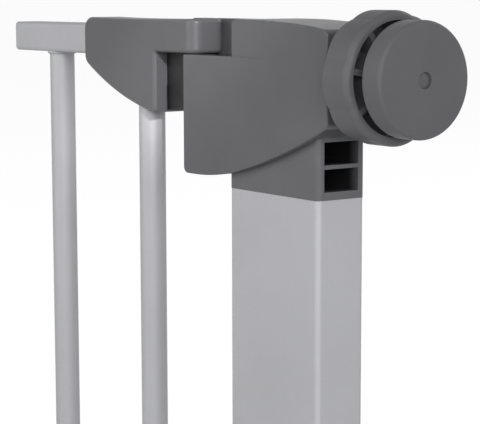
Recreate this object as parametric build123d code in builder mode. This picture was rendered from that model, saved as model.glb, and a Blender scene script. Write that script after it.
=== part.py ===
from build123d import *
import os
from math import cos, hypot, pi, radians, sin

# Stair gate latch: keeper housing on its post, wall tensioner, and the closing corner of the gate leaf.
# Millimetres, +Z up, +X towards the wall, -Y the front. The origin is the middle of the post's cut foot.

# Post and its cap
post_width = 53.7
post_depth = 21.6
post_height = 127.0
post_wall = 1.2
post_corner = 2.0
cap_proud = 0.15
cap_height = 23.2
spigot_length = 28.0
spigot_gap = 0.2
spigot_wall = 2.5
pocket_depth = 42.0
pocket_front_wall = 3.0
pocket_back_wall = 3.3
pocket_foot = 2.9
pocket_rib = 1.45
pocket_head = 2.4
rivet_diameter = 4.0
rivet_head_diameter = 8.0
rivet_head_height = 1.2
rivet_head_round = 0.7
rivet_length = 6.0
rivet_spacing = 27.0
rivet_drop = 14.0

# Keeper housing
keeper_left_reach = 25.45
keeper_right_reach = 10.15
keeper_depth = 30.0
keeper_wall = 3.0
keeper_foot_rise = 3.8
keeper_rise = 63.7
ledge_rise = 49.7
step_inset = 6.25
crown_flat = 10.0
crown_drop = 3.1
heel_rise = 26.8
belly_flat = 7.0
belly_radius = 120.0
belly_turn = 14.0
keeper_corner = 2.4
keeper_round = 0.8
crease_depth = 0.8
crease_length = 24.0
seat_gap = 0.1
tower_left_inset = 3.0

# Stop wall behind the arm, with its buffer
stop_reach = 30.9
stop_gap = 1.0
stop_top_drop = 0.4
stop_foot_rise = 44.5
stop_root_rise = 30.0
stop_belly_out = 2.5
stop_corner = 4.0
buffer_length = 14.0
buffer_height = 8.0
buffer_seat = 1.2
buffer_gap = 0.4

# Screws of the keeper
keeper_screw_diameter = 4.0
keeper_screw_head = 7.6
keeper_screw_head_height = 2.2
keeper_screw_tip_wall = 1.5
keeper_screw_pitch_x = 24.0
keeper_screw_pitch_z = 25.5
keeper_screw_mid_z = 42.75
keeper_screw_mid_inset = 26.35
keeper_boss_wall = 2.0
keeper_boss_back = 2.0
insert_screw_inset = 10.5
insert_screw_rise = 14.5
hole_gap = 0.1

# Insert that takes the tongue and the bolt
insert_length = 19.5
insert_inset = 0.5
slot_gap = 0.5
slot_floor_gap = 0.3
slot_end_gap = 1.5

# Gate leaf
bar_diameter = 11.0
bar_wall = 1.0
bar_pitch = 74.6
rail_height = 13.0
rail_depth = 14.0
rail_wall = 1.0
rail_corner = 1.8
rail_rise = 54.0
rail_overhang = 30.4
leaf_gap = 30.7
leaf_lift = 12.0

# Grip
grip_length = 55.8
grip_depth = 16.6
grip_roof = 2.9
grip_dip = 0.55
grip_drop = 38.7
grip_heel_drop = 18.9
grip_belly_out = 2.9
grip_top_corner = 5.2
grip_heel_corner = 5.0
grip_round = 1.6
bar_inset = 14.7
rail_fit = 0.15
arm_length = 27.5
arm_height = 13.7
nose_radius = 5.0
nose_solid = 10.0
arm_floor = 1.6
arm_roof = 1.2
mouth_front_wall = 6.3
mouth_back_wall = 1.3
mouth_depth = 7.6
mouth_floor = 1.4
grip_screw_diameter = 3.0
grip_screw_head = 5.6
grip_screw_head_height = 1.8
grip_screw_tip_wall = 2.2
grip_inner_corner = 1.0
grip_end_corner = 2.0
nose_screw_inset = 6.0
outer_screw_inset = 22.0
outer_screw_drop = 5.8
inner_screw_inset = 10.5
inner_screw_drop = 11.5

# Drop tongue, bolt, thumb slide and spring
tongue_thickness = 1.5
tongue_height = 10.0
tongue_under_arm = 0.2
tongue_in_mouth = 4.0
skirt_floor_gap = 0.3
skirt_end_gap = 1.5
root_length = 5.6
root_inset = 3.2
root_rise = 3.0
parting_gap = 0.2
bolt_thickness = 4.0
bolt_height = 21.4
bolt_side_gap = 0.6
bolt_engage = 10.1
bolt_spare = 0.9
bolt_tail = 5.0
bolt_neck_length = 5.4
bolt_neck_inset = 1.0
bolt_pin_diameter = 2.5
slide_gap = 0.2
slide_end_gap = 0.3
slide_width = 11.2
slide_neck_width = 4.0
slide_neck_length = 9.0
button_length = 18.0
button_recess = 2.4
button_overlap = 1.5
button_side_gap = 0.5
button_below_top = 0.2
button_ridges = 5
button_ridge_width = 1.2
button_ridge_pitch = 2.6
button_ridge_height = 0.4
guide_flange = 0.8
guide_pin_diameter = 2.8
guide_pin_gap = 0.5
spring_bore = 5.6
spring_end_wall = 0.8
spring_diameter = 4.8
spring_wire = 0.6
spring_turns = 7

# Wall tensioner
axis_rise = 44.2
spindle_diameter = 10.0
spindle_spare = 4.0
spindle_bore_gap = 0.3
spindle_travel = 24.0
thread_gap = 0.05
bush_diameter = 16.0
bush_length = 18.0
bush_flange_diameter = 28.0
bush_flange = 3.0
bush_neck_diameter = 21.0
bush_neck = 2.7
washer_diameter = 25.0
washer_thickness = 1.2
wheel_gap = 0.3
wheel_width = 13.0
wheel_radius = 23.3
wheel_lobes = 8
wheel_lobe_depth = 0.75
wheel_lobe_angle = 161.5
wheel_cusp_radius = 1.0
wheel_round = 2.2
wheel_back_round = 0.8
wheel_rim = 3.3
wheel_web = 2.4
wheel_hub_diameter = 23.0
wheel_hub_recess = 1.2
spoke_width = 2.1
spoke_recess = 1.6
spoke_angle = 171.0
nut_flats = 15.0
nut_length = 9.0
pad_radius = 20.1
pad_thickness = 9.2
pad_gap = 4.2
pad_skin = 2.6
pad_face = 3.6
pad_round = 1.4
pad_back_round = 0.8
pad_dimple = 5.8
pad_dimple_depth = 1.2
pad_fit = 0.1
pad_neck_diameter = 16.0
pad_neck = 3.8
stud_diameter = 8.0
stud_length = 7.0
pad_screw_diameter = 4.0
pad_screw_head = 8.0
pad_screw_head_height = 2.4
pad_screw_length = 18.0

# Places that several pieces share
post_right = post_width / 2
post_left = -post_right
post_top = post_height
keeper_left = post_left - keeper_left_reach
keeper_right = post_right + keeper_right_reach
keeper_half = keeper_depth / 2
keeper_floor = post_top + keeper_foot_rise
keeper_top = post_top + keeper_rise
keeper_inner = keeper_half - keeper_wall
ledge_z = post_top + ledge_rise
step_x = post_left + step_inset
cap_top = post_top + cap_height
axis_z = post_top + axis_rise

rail_z = post_top + rail_rise
rail_bottom = rail_z - rail_height / 2
grip_right = keeper_left - leaf_gap
grip_left = grip_right - grip_length
grip_half = grip_depth / 2
grip_top = rail_z + rail_height / 2 + grip_roof
grip_bottom = grip_top - grip_drop
arm_end = grip_right + arm_length
arm_bottom = grip_top - arm_height
right_bar_x = grip_right - bar_inset
left_bar_x = right_bar_x - bar_pitch
rail_right = right_bar_x + bar_diameter / 2
rail_left = left_bar_x - rail_overhang
stop_inner = grip_half + stop_gap

bolt_travel = bolt_engage + bolt_spare
bolt_front = bolt_side_gap
bolt_back = bolt_front + bolt_thickness
bolt_end = keeper_left + bolt_engage
tongue_back = -parting_gap
tongue_front = tongue_back - tongue_thickness
tongue_top = arm_bottom - tongue_under_arm
tongue_bottom = tongue_top - tongue_height
skirt_bottom = grip_bottom + mouth_floor + skirt_floor_gap
skirt_right = keeper_left - skirt_end_gap
bolt_top = arm_bottom - bolt_side_gap
bolt_bottom = bolt_top - bolt_height

slide_left = rail_right + guide_flange + slide_end_gap + bolt_travel
slide_room_right = arm_end - nose_solid
slide_right = slide_room_right - slide_end_gap
recess_floor = grip_top - button_recess
slide_room_top = recess_floor - arm_roof
slide_room_bottom = arm_bottom + arm_floor
slide_top = slide_room_top - slide_gap
slide_bottom = slide_room_bottom + slide_gap
slide_mid_z = (slide_room_top + slide_room_bottom) / 2
button_right = slide_right + button_overlap
button_left = button_right - button_length
bolt_neck_right = slide_right - bolt_neck_inset
bolt_neck_left = bolt_neck_right - bolt_neck_length
bolt_left = bolt_neck_left - bolt_tail
bolt_pin_x = (bolt_neck_left + bolt_neck_right) / 2
spring_bore_end = bolt_neck_left - hole_gap - spring_end_wall
guide_pin_length = spring_bore_end - slide_left - guide_pin_gap

bush_face = keeper_right + bush_flange + bush_neck
washer_face = bush_face + washer_thickness
wheel_left = washer_face + wheel_gap
wheel_right = wheel_left + wheel_width
pad_back = wheel_right + pad_gap
pad_front = pad_back + pad_thickness
pad_plate_front = pad_front - pad_face
spindle_shoulder = pad_back - pad_neck
bush_left = keeper_right - bush_length
spindle_left = bush_left - spindle_travel - spindle_spare

os.makedirs("parts", exist_ok=True)


def box_between(x0, x1, y0, y1, z0, z1, mode=Mode.ADD):
    with Locations(((x0 + x1) / 2, (y0 + y1) / 2, (z0 + z1) / 2)):
        Box(x1 - x0, y1 - y0, z1 - z0, mode=mode)


def rod_x(x0, x1, y, z, diameter, mode=Mode.ADD):
    with Locations(Location(((x0 + x1) / 2, y, z), (0, 90, 0))):
        Cylinder(diameter / 2, x1 - x0, mode=mode)


def rod_y(x, y0, y1, z, diameter, mode=Mode.ADD):
    with Locations(Location((x, (y0 + y1) / 2, z), (90, 0, 0))):
        Cylinder(diameter / 2, y1 - y0, mode=mode)


def rod_z(x, y, z0, z1, diameter, mode=Mode.ADD):
    with Locations((x, y, (z0 + z1) / 2)):
        Cylinder(diameter / 2, z1 - z0, mode=mode)


def hand_in(piece, name):
    piece.part.label = name
    export_step(piece.part, f"parts/{name}.step")


# Post tube with two rivet holes in its back wall
post_inner_width = post_width - 2 * post_wall
post_inner_depth = post_depth - 2 * post_wall
rivet_z = post_top - rivet_drop
rivet_xs = [-rivet_spacing / 2, rivet_spacing / 2]

with BuildPart() as post_tube:
    with BuildSketch():
        RectangleRounded(post_width, post_depth, post_corner)
        RectangleRounded(
            post_inner_width, post_inner_depth, post_corner - post_wall, mode=Mode.SUBTRACT
        )
    extrude(amount=post_height)
    for rivet_x in rivet_xs:
        rod_y(
            rivet_x, 0, post_depth, rivet_z, rivet_diameter + hole_gap, mode=Mode.SUBTRACT
        )
hand_in(post_tube, "post_tube")

# Side view of the keeper: low plate on the left, tall block on the right, belly rising to the wall
with BuildSketch(Plane.XZ) as keeper_outline:
    with BuildLine():
        flat = Line((keeper_left, keeper_floor), (keeper_left + belly_flat, keeper_floor))
        belly = JernArc(flat @ 1, (1, 0), belly_radius, belly_turn)
        heel = TangentArc(belly @ 1, (keeper_right, post_top + heel_rise), tangent=belly % 1)
        right_side = Line(heel @ 1, (keeper_right, keeper_top - crown_drop))
        crown = Line((step_x, keeper_top), (step_x + crown_flat, keeper_top))
        TangentArc(crown @ 1, right_side @ 1, tangent=(1, 0))
        Polyline(crown @ 0, (step_x, ledge_z), (keeper_left, ledge_z), flat @ 0)
    make_face()

keeper_hollow = offset(keeper_outline.sketch, amount=-keeper_wall)
tower_side = offset(keeper_outline.sketch, amount=-keeper_wall - seat_gap)

with BuildSketch(Plane.XZ) as keeper_side:
    add(keeper_outline.sketch_local)
    rounded_corners = [
        (step_x, keeper_top),
        (keeper_left, keeper_floor),
        (keeper_right, keeper_top - crown_drop),
        (keeper_right, post_top + heel_rise),
    ]
    for corner in rounded_corners:
        fillet(keeper_side.vertices().sort_by_distance(corner)[0], keeper_corner)

# Screw places of the keeper, in X and Z
keeper_screw_left = post_left + keeper_screw_mid_inset - keeper_screw_pitch_x / 2
keeper_screw_low = post_top + keeper_screw_mid_z - keeper_screw_pitch_z / 2
keeper_screw_places = [
    (keeper_screw_left + i * keeper_screw_pitch_x, keeper_screw_low + j * keeper_screw_pitch_z)
    for i in (0, 1)
    for j in (0, 1)
]
insert_screw_place = (keeper_left + insert_screw_inset, post_top + insert_screw_rise)
all_keeper_screws = keeper_screw_places + [insert_screw_place]
keeper_boss_diameter = keeper_screw_diameter + 2 * keeper_boss_wall
keeper_boss_end = -keeper_boss_back
keeper_screw_tip = keeper_screw_tip_wall - keeper_half
keeper_screw_seat = keeper_half - keeper_screw_head_height
insert_right = keeper_left + insert_inset + insert_length
insert_bottom = keeper_floor + keeper_wall

# Post cap: tower in the keeper, base block with two cored pockets, and the spigot in the post
cap_width = post_width + 2 * cap_proud
cap_depth = post_depth + 2 * cap_proud
tower_left = post_left + tower_left_inset
tower_half = keeper_inner
spigot_width = post_inner_width - 2 * spigot_gap
spigot_depth = post_inner_depth - 2 * spigot_gap
spigot_corner = post_corner - post_wall
pocket_y0 = pocket_front_wall - cap_depth / 2
pocket_y1 = cap_depth / 2 - pocket_back_wall
pocket_height = (cap_height - pocket_foot - pocket_rib - pocket_head) / 2

with BuildPart() as post_cap:
    extrude(tower_side, amount=tower_half, both=True)
    box_between(
        keeper_left, tower_left, -keeper_half, keeper_half, post_top, keeper_top, mode=Mode.SUBTRACT
    )
    with BuildSketch(Plane.XY.offset(post_top)):
        RectangleRounded(cap_width, cap_depth, post_corner + cap_proud)
    extrude(amount=cap_height)
    with BuildSketch(Plane.XY.offset(post_top)):
        RectangleRounded(spigot_width, spigot_depth, spigot_corner)
        RectangleRounded(
            spigot_width - 2 * spigot_wall,
            spigot_depth - 2 * spigot_wall,
            spigot_corner,
            mode=Mode.SUBTRACT,
        )
    extrude(amount=-spigot_length)
    for pocket_z in (post_top + pocket_foot, post_top + pocket_foot + pocket_height + pocket_rib):
        box_between(
            cap_width / 2 - pocket_depth,
            cap_width,
            pocket_y0,
            pocket_y1,
            pocket_z,
            pocket_z + pocket_height,
            mode=Mode.SUBTRACT,
        )
    rod_x(
        spindle_left - spindle_bore_gap,
        keeper_right,
        0,
        axis_z,
        spindle_diameter + 2 * spindle_bore_gap,
        mode=Mode.SUBTRACT,
    )
    rod_x(bush_left, keeper_right, 0, axis_z, bush_diameter + hole_gap, mode=Mode.SUBTRACT)
    for screw_x, screw_z in keeper_screw_places:
        rod_y(
            screw_x,
            -keeper_half,
            keeper_boss_end + seat_gap,
            screw_z,
            keeper_boss_diameter + 2 * seat_gap,
            mode=Mode.SUBTRACT,
        )
        rod_y(
            screw_x,
            -keeper_half,
            keeper_half,
            screw_z,
            keeper_screw_diameter + hole_gap,
            mode=Mode.SUBTRACT,
        )
    for rivet_x in rivet_xs:
        rod_y(
            rivet_x,
            spigot_depth / 2 - spigot_wall - hole_gap,
            post_depth,
            rivet_z,
            rivet_diameter + hole_gap,
            mode=Mode.SUBTRACT,
        )
hand_in(post_cap, "post_cap")

# Two rivets from the back of the post into the spigot
with BuildPart() as cap_rivets:
    for rivet_x in rivet_xs:
        rod_y(rivet_x, post_depth / 2 - rivet_length, post_depth / 2, rivet_z, rivet_diameter)
        rod_y(
            rivet_x,
            post_depth / 2,
            post_depth / 2 + rivet_head_height,
            rivet_z,
            rivet_head_diameter,
        )
    rivet_rims = cap_rivets.faces().sort_by(Axis.Y)[-2:].edges()
    fillet(rivet_rims, rivet_head_round)
hand_in(cap_rivets, "cap_rivets")


def keeper_cuts():
    box_between(
        -cap_width / 2 - seat_gap,
        cap_width / 2 + seat_gap,
        -cap_depth / 2 - seat_gap,
        cap_depth / 2 + seat_gap,
        post_top,
        cap_top + seat_gap,
        mode=Mode.SUBTRACT,
    )
    box_between(
        keeper_left,
        insert_right + seat_gap,
        -keeper_inner,
        keeper_inner,
        insert_bottom,
        ledge_z,
        mode=Mode.SUBTRACT,
    )
    rod_x(
        keeper_right - 2 * keeper_wall,
        keeper_right + keeper_wall,
        0,
        axis_z,
        bush_diameter + hole_gap,
        mode=Mode.SUBTRACT,
    )


# Front shell, with the bosses that take the screws and a shallow crease right of the step
with BuildPart() as keeper_front:
    extrude(keeper_side.sketch, amount=keeper_half)
    fillet(keeper_front.faces().sort_by(Axis.Y)[0].edges(), keeper_round)
    extrude(keeper_hollow, amount=keeper_inner, mode=Mode.SUBTRACT)
    with BuildSketch(Plane.XY.offset(ledge_z)):
        with BuildLine():
            Polyline(
                (step_x, -keeper_half),
                (step_x + crease_length, -keeper_half),
                (step_x, crease_depth - keeper_half),
                close=True,
            )
        make_face()
    extrude(amount=keeper_top - ledge_z, mode=Mode.SUBTRACT)
    keeper_cuts()
    for screw_x, screw_z in all_keeper_screws:
        rod_y(screw_x, -keeper_inner - seat_gap, keeper_boss_end, screw_z, keeper_boss_diameter)
        rod_y(
            screw_x,
            keeper_screw_tip - hole_gap,
            0,
            screw_z,
            keeper_screw_diameter + hole_gap,
            mode=Mode.SUBTRACT,
        )
hand_in(keeper_front, "keeper_front")

# Back shell, with the stop wall that stands behind the arm and a seat for its buffer
stop_left = keeper_left - stop_reach
stop_top = keeper_top - stop_top_drop
stop_foot = post_top + stop_foot_rise
stop_root = post_top + stop_root_rise
stop_belly = (
    (stop_left + keeper_left) / 2,
    (stop_foot + stop_root) / 2 - stop_belly_out,
)
buffer_left = arm_end - (arm_length + buffer_length) / 2
buffer_bottom = (grip_top + arm_bottom - buffer_height) / 2
buffer_front = grip_half + buffer_gap
buffer_back = stop_inner + buffer_seat

with BuildSketch(Plane.XZ.offset(-stop_inner)) as stop_side:
    with BuildLine():
        stop_edge = Polyline(
            (keeper_left, stop_root),
            (keeper_left, ledge_z),
            (step_x + keeper_corner, ledge_z),
            (step_x + keeper_corner, stop_top),
            (stop_left, stop_top),
            (stop_left, stop_foot),
        )
        ThreePointArc(stop_edge @ 1, stop_belly, stop_edge @ 0)
    make_face()
    for corner in ((stop_left, stop_top), (stop_left, stop_foot)):
        fillet(stop_side.vertices().sort_by_distance(corner)[0], stop_corner)

with BuildPart() as keeper_back:
    extrude(keeper_side.sketch, amount=-keeper_half)
    extrude(stop_side.sketch, amount=stop_inner - keeper_half)
    fillet(keeper_back.faces().sort_by(Axis.Y)[-1].edges(), keeper_round)
    extrude(keeper_hollow, amount=-keeper_inner, mode=Mode.SUBTRACT)
    keeper_cuts()
    box_between(
        buffer_left,
        buffer_left + buffer_length,
        stop_inner - buffer_seat,
        buffer_back,
        buffer_bottom,
        buffer_bottom + buffer_height,
        mode=Mode.SUBTRACT,
    )
    for screw_x, screw_z in all_keeper_screws:
        rod_y(
            screw_x, 0, keeper_depth, screw_z, keeper_screw_diameter + hole_gap, mode=Mode.SUBTRACT
        )
        rod_y(
            screw_x,
            keeper_screw_seat,
            keeper_depth,
            screw_z,
            keeper_screw_head + hole_gap,
            mode=Mode.SUBTRACT,
        )
hand_in(keeper_back, "keeper_back")

# Screws from the back of the keeper, each with a socket in its head
with BuildPart() as keeper_screws:
    for screw_x, screw_z in all_keeper_screws:
        rod_y(screw_x, keeper_screw_tip, keeper_screw_seat, screw_z, keeper_screw_diameter)
        rod_y(screw_x, keeper_screw_seat, keeper_half - hole_gap, screw_z, keeper_screw_head)
    with BuildSketch(Plane.XZ.offset(hole_gap - keeper_half)):
        for place in all_keeper_screws:
            with Locations(place):
                RegularPolygon(keeper_screw_diameter / 3, 6)
    extrude(amount=keeper_screw_head_height / 2, mode=Mode.SUBTRACT)
hand_in(keeper_screws, "keeper_screws")

# Insert with a shelf for the tongue and a deeper slot for the bolt
slot_left = keeper_left
slot_right = bolt_end + slot_end_gap
insert_half = keeper_inner - seat_gap

with BuildPart() as keeper_insert:
    box_between(
        keeper_left + insert_inset,
        insert_right,
        -insert_half,
        insert_half,
        insert_bottom + seat_gap,
        ledge_z - insert_inset,
    )
    box_between(
        slot_left,
        slot_right,
        tongue_front - slot_gap,
        bolt_back + slot_gap,
        tongue_bottom - slot_floor_gap,
        ledge_z,
        mode=Mode.SUBTRACT,
    )
    box_between(
        slot_left,
        slot_right,
        bolt_front - slot_gap,
        bolt_back + slot_gap,
        bolt_bottom - slot_floor_gap,
        ledge_z,
        mode=Mode.SUBTRACT,
    )
    insert_x, insert_z = insert_screw_place
    rod_y(
        insert_x,
        -keeper_half,
        keeper_boss_end + seat_gap,
        insert_z,
        keeper_boss_diameter + 2 * seat_gap,
        mode=Mode.SUBTRACT,
    )
    rod_y(
        insert_x,
        -keeper_half,
        keeper_half,
        insert_z,
        keeper_screw_diameter + hole_gap,
        mode=Mode.SUBTRACT,
    )
hand_in(keeper_insert, "keeper_insert")

# Soft buffer that the arm closes against
with BuildPart() as stop_buffer:
    box_between(
        buffer_left + seat_gap,
        buffer_left + buffer_length - seat_gap,
        buffer_front,
        buffer_back,
        buffer_bottom + seat_gap,
        buffer_bottom + buffer_height - seat_gap,
    )
    fillet(stop_buffer.faces().sort_by(Axis.Y)[0].edges(), buffer_gap)
hand_in(stop_buffer, "stop_buffer")

# Rail and bars of the gate leaf
with BuildPart() as top_rail:
    with BuildSketch(Plane.YZ.offset(rail_left)):
        with Locations((0, rail_z)):
            RectangleRounded(rail_depth, rail_height, rail_corner)
            RectangleRounded(
                rail_depth - 2 * rail_wall,
                rail_height - 2 * rail_wall,
                rail_corner - rail_wall,
                mode=Mode.SUBTRACT,
            )
    extrude(amount=rail_right - rail_left)
hand_in(top_rail, "top_rail")

for bar_name, bar_x in (("left_bar", left_bar_x), ("right_bar", right_bar_x)):
    with BuildPart() as bar:
        rod_z(bar_x, 0, 0, rail_bottom, bar_diameter)
        rod_z(bar_x, 0, 0, rail_bottom, bar_diameter - 2 * bar_wall, mode=Mode.SUBTRACT)
    hand_in(bar, bar_name)

# Grip: fin-shaped body with the arm, hollow for the rail, the bar and the slide
grip_heel = grip_top - grip_heel_drop
grip_mid_x = (grip_left + arm_end) / 2
fin_run = grip_right - grip_left
fin_fall = grip_heel - grip_bottom
fin_chord = hypot(fin_run, fin_fall)
grip_belly = (
    (grip_left + grip_right) / 2 - grip_belly_out * fin_fall / fin_chord,
    (grip_heel + grip_bottom) / 2 - grip_belly_out * fin_run / fin_chord,
)
root_right = arm_end - root_inset
root_left = root_right - root_length
root_top = slide_mid_z + root_rise
slide_neck_right = button_right - (button_length - slide_neck_length) / 2
slide_neck_left = slide_neck_right - slide_neck_length
grip_screw_places = [
    (right_bar_x - outer_screw_inset, rail_bottom - outer_screw_drop),
    (right_bar_x - inner_screw_inset, rail_bottom - inner_screw_drop),
    (arm_end - nose_screw_inset, slide_mid_z),
]
grip_screw_tip = grip_screw_tip_wall - grip_half
grip_screw_seat = grip_half - grip_screw_head_height

with BuildPart() as grip_body:
    with BuildSketch(Plane.XZ) as grip_side:
        with BuildLine():
            top_edge = ThreePointArc(
                (grip_left, grip_top), (grip_mid_x, grip_top - grip_dip), (arm_end, grip_top)
            )
            Polyline(
                top_edge @ 1,
                (arm_end, arm_bottom),
                (grip_right, arm_bottom),
                (grip_right, grip_bottom),
            )
            ThreePointArc((grip_right, grip_bottom), grip_belly, (grip_left, grip_heel))
            Line((grip_left, grip_heel), top_edge @ 0)
        make_face()
        grip_corners = [
            ((grip_left, grip_top), grip_top_corner),
            ((grip_left, grip_heel), grip_heel_corner),
            ((grip_right, grip_bottom), grip_end_corner),
            ((grip_right, arm_bottom), grip_inner_corner),
        ]
        for corner, radius in grip_corners:
            fillet(grip_side.vertices().sort_by_distance(corner)[0], radius)
    extrude(amount=grip_half, both=True)
    fillet(grip_body.edges().filter_by(Axis.Z).group_by(Axis.X)[-1], nose_radius)
    outline = grip_body.faces().sort_by(Axis.Y)[0].edges() + grip_body.faces().sort_by(Axis.Y)[-1].edges()
    nose_seam = arm_end - nose_radius
    fillet(
        outline.filter_by(lambda edge: abs(edge.center().X - nose_seam) > seat_gap), grip_round
    )
    box_between(
        grip_left - rail_depth,
        rail_right + guide_flange,
        -rail_depth / 2 - rail_fit,
        rail_depth / 2 + rail_fit,
        rail_bottom - rail_fit,
        rail_bottom + rail_height + rail_fit,
        mode=Mode.SUBTRACT,
    )
    rod_z(
        right_bar_x,
        0,
        grip_bottom - bar_diameter,
        rail_z,
        bar_diameter + 2 * rail_fit,
        mode=Mode.SUBTRACT,
    )
    box_between(
        rail_right,
        slide_room_right,
        -slide_width / 2 - slide_gap,
        slide_width / 2 + slide_gap,
        slide_room_bottom,
        slide_room_top,
        mode=Mode.SUBTRACT,
    )
    box_between(
        slide_neck_left - bolt_travel - slide_end_gap,
        slide_neck_right + slide_end_gap,
        -slide_neck_width / 2 - slide_gap,
        slide_neck_width / 2 + slide_gap,
        slide_mid_z,
        grip_top,
        mode=Mode.SUBTRACT,
    )
    box_between(
        button_left - bolt_travel - slide_end_gap,
        button_right + slide_end_gap,
        -slide_width / 2 - button_side_gap,
        slide_width / 2 + button_side_gap,
        recess_floor,
        grip_top + button_recess,
        mode=Mode.SUBTRACT,
    )
    box_between(
        bolt_neck_left - bolt_travel - slide_end_gap,
        bolt_neck_right + slide_end_gap,
        0,
        bolt_back + slide_end_gap,
        arm_bottom - arm_floor,
        slide_mid_z,
        mode=Mode.SUBTRACT,
    )
    box_between(
        grip_right - mouth_depth,
        grip_right + mouth_depth,
        mouth_front_wall - grip_half,
        grip_half - mouth_back_wall,
        grip_bottom + mouth_floor,
        arm_bottom,
        mode=Mode.SUBTRACT,
    )
    box_between(
        root_left - seat_gap,
        root_right + seat_gap,
        tongue_front - seat_gap,
        0,
        arm_bottom - arm_floor,
        root_top + seat_gap,
        mode=Mode.SUBTRACT,
    )
    for screw_x, screw_z in grip_screw_places:
        rod_y(
            screw_x,
            grip_screw_tip - hole_gap,
            grip_depth,
            screw_z,
            grip_screw_diameter + hole_gap,
            mode=Mode.SUBTRACT,
        )
        rod_y(
            screw_x,
            grip_screw_seat,
            grip_depth,
            screw_z,
            grip_screw_head + hole_gap,
            mode=Mode.SUBTRACT,
        )

with BuildPart() as grip_front:
    add(grip_body.part)
    split(bisect_by=Plane.XZ, keep=Keep.TOP)
hand_in(grip_front, "grip_front")

with BuildPart() as grip_back:
    add(grip_body.part)
    split(bisect_by=Plane.XZ, keep=Keep.BOTTOM)
hand_in(grip_back, "grip_back")

# Screws from the back of the grip
with BuildPart() as grip_screws:
    for screw_x, screw_z in grip_screw_places:
        rod_y(screw_x, grip_screw_tip, grip_screw_seat, screw_z, grip_screw_diameter)
        rod_y(screw_x, grip_screw_seat, grip_half - hole_gap, screw_z, grip_screw_head)
    with BuildSketch(Plane.XZ.offset(hole_gap - grip_half)):
        for place in grip_screw_places:
            with Locations(place):
                RegularPolygon(grip_screw_diameter / 3, 6)
    extrude(amount=grip_screw_head_height / 2, mode=Mode.SUBTRACT)
hand_in(grip_screws, "grip_screws")

# Drop tongue: a flat blade under the arm, its root clamped in the nose and its skirt across the mouth
with BuildPart() as drop_tongue:
    with BuildSketch(Plane.XZ.offset(-tongue_back)):
        with BuildLine():
            Polyline(
                (grip_right - tongue_in_mouth, skirt_bottom),
                (skirt_right, skirt_bottom),
                (skirt_right, tongue_bottom),
                (bolt_end, tongue_bottom),
                (bolt_end, tongue_top),
                (root_right, tongue_top),
                (root_right, root_top),
                (root_left, root_top),
                (root_left, tongue_top),
                (grip_right - tongue_in_mouth, tongue_top),
                close=True,
            )
        make_face()
    extrude(amount=tongue_thickness)
    fillet(
        drop_tongue.edges().filter_by(Axis.Y).group_by(Axis.X)[-1].sort_by(Axis.Z)[0],
        tongue_thickness,
    )
    rod_y(
        arm_end - nose_screw_inset,
        -grip_half,
        0,
        slide_mid_z,
        grip_screw_diameter + hole_gap,
        mode=Mode.SUBTRACT,
    )
hand_in(drop_tongue, "drop_tongue")

# Spring guide: plug that fills the rail inside the grip, flange on the rail's end, pin in the spring
guide_face = rail_right + guide_flange
guide_plug_depth = rail_depth - 2 * (rail_wall + rail_fit)
guide_plug_height = rail_height - 2 * (rail_wall + rail_fit)

with BuildPart() as spring_guide:
    with BuildSketch(Plane.YZ.offset(grip_left)):
        with Locations((0, rail_z)):
            RectangleRounded(guide_plug_depth, guide_plug_height, rail_corner - rail_wall)
    extrude(amount=rail_right - grip_left)
    box_between(
        rail_right,
        guide_face,
        -rail_depth / 2,
        rail_depth / 2,
        rail_bottom,
        rail_bottom + rail_height,
    )
    rod_x(guide_face, guide_face + guide_pin_length, 0, slide_mid_z, guide_pin_diameter)
hand_in(spring_guide, "spring_guide")

# Thumb slide: carriage in the arm, neck through the roof, ridged button in its recess
button_top = grip_top - button_below_top
ridge_top = button_top - grip_dip
ridge_base = ridge_top - button_ridge_height
button_mid_x = (button_left + button_right) / 2

with BuildPart() as thumb_slide:
    box_between(
        slide_left, slide_right, -slide_width / 2, slide_width / 2, slide_bottom, slide_top
    )
    box_between(
        slide_neck_left,
        slide_neck_right,
        -slide_neck_width / 2,
        slide_neck_width / 2,
        slide_top,
        recess_floor + slide_gap,
    )
    box_between(
        button_left,
        button_right,
        -slide_width / 2,
        slide_width / 2,
        recess_floor + slide_gap,
        ridge_base,
    )
    for i in range(button_ridges):
        ridge_x = button_mid_x + (i - (button_ridges - 1) / 2) * button_ridge_pitch
        box_between(
            ridge_x - button_ridge_width / 2,
            ridge_x + button_ridge_width / 2,
            -slide_width / 2,
            slide_width / 2,
            ridge_base,
            ridge_top,
        )
    rod_x(slide_left, spring_bore_end, 0, slide_mid_z, spring_bore, mode=Mode.SUBTRACT)
    box_between(
        bolt_neck_left - hole_gap,
        bolt_neck_right + hole_gap,
        bolt_front - hole_gap,
        bolt_back + hole_gap,
        slide_bottom,
        root_top,
        mode=Mode.SUBTRACT,
    )
    rod_y(
        bolt_pin_x,
        -slide_width / 2,
        slide_width / 2,
        slide_mid_z,
        bolt_pin_diameter + hole_gap,
        mode=Mode.SUBTRACT,
    )
hand_in(thumb_slide, "thumb_slide")

# Bolt: flat blade with a neck up into the carriage
with BuildPart() as latch_bolt:
    box_between(bolt_left, bolt_end, bolt_front, bolt_back, bolt_bottom, bolt_top)
    fillet(
        latch_bolt.edges().filter_by(Axis.Y).group_by(Axis.X)[-1],
        bolt_thickness / 2,
    )
    box_between(
        bolt_neck_left, bolt_neck_right, bolt_front, bolt_back, bolt_top, root_top - hole_gap
    )
    rod_y(
        bolt_pin_x, 0, grip_half, slide_mid_z, bolt_pin_diameter + hole_gap, mode=Mode.SUBTRACT
    )
hand_in(latch_bolt, "latch_bolt")

with BuildPart() as bolt_pin:
    rod_y(bolt_pin_x, -slide_width / 2, slide_width / 2, slide_mid_z, bolt_pin_diameter)
hand_in(bolt_pin, "bolt_pin")

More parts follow.
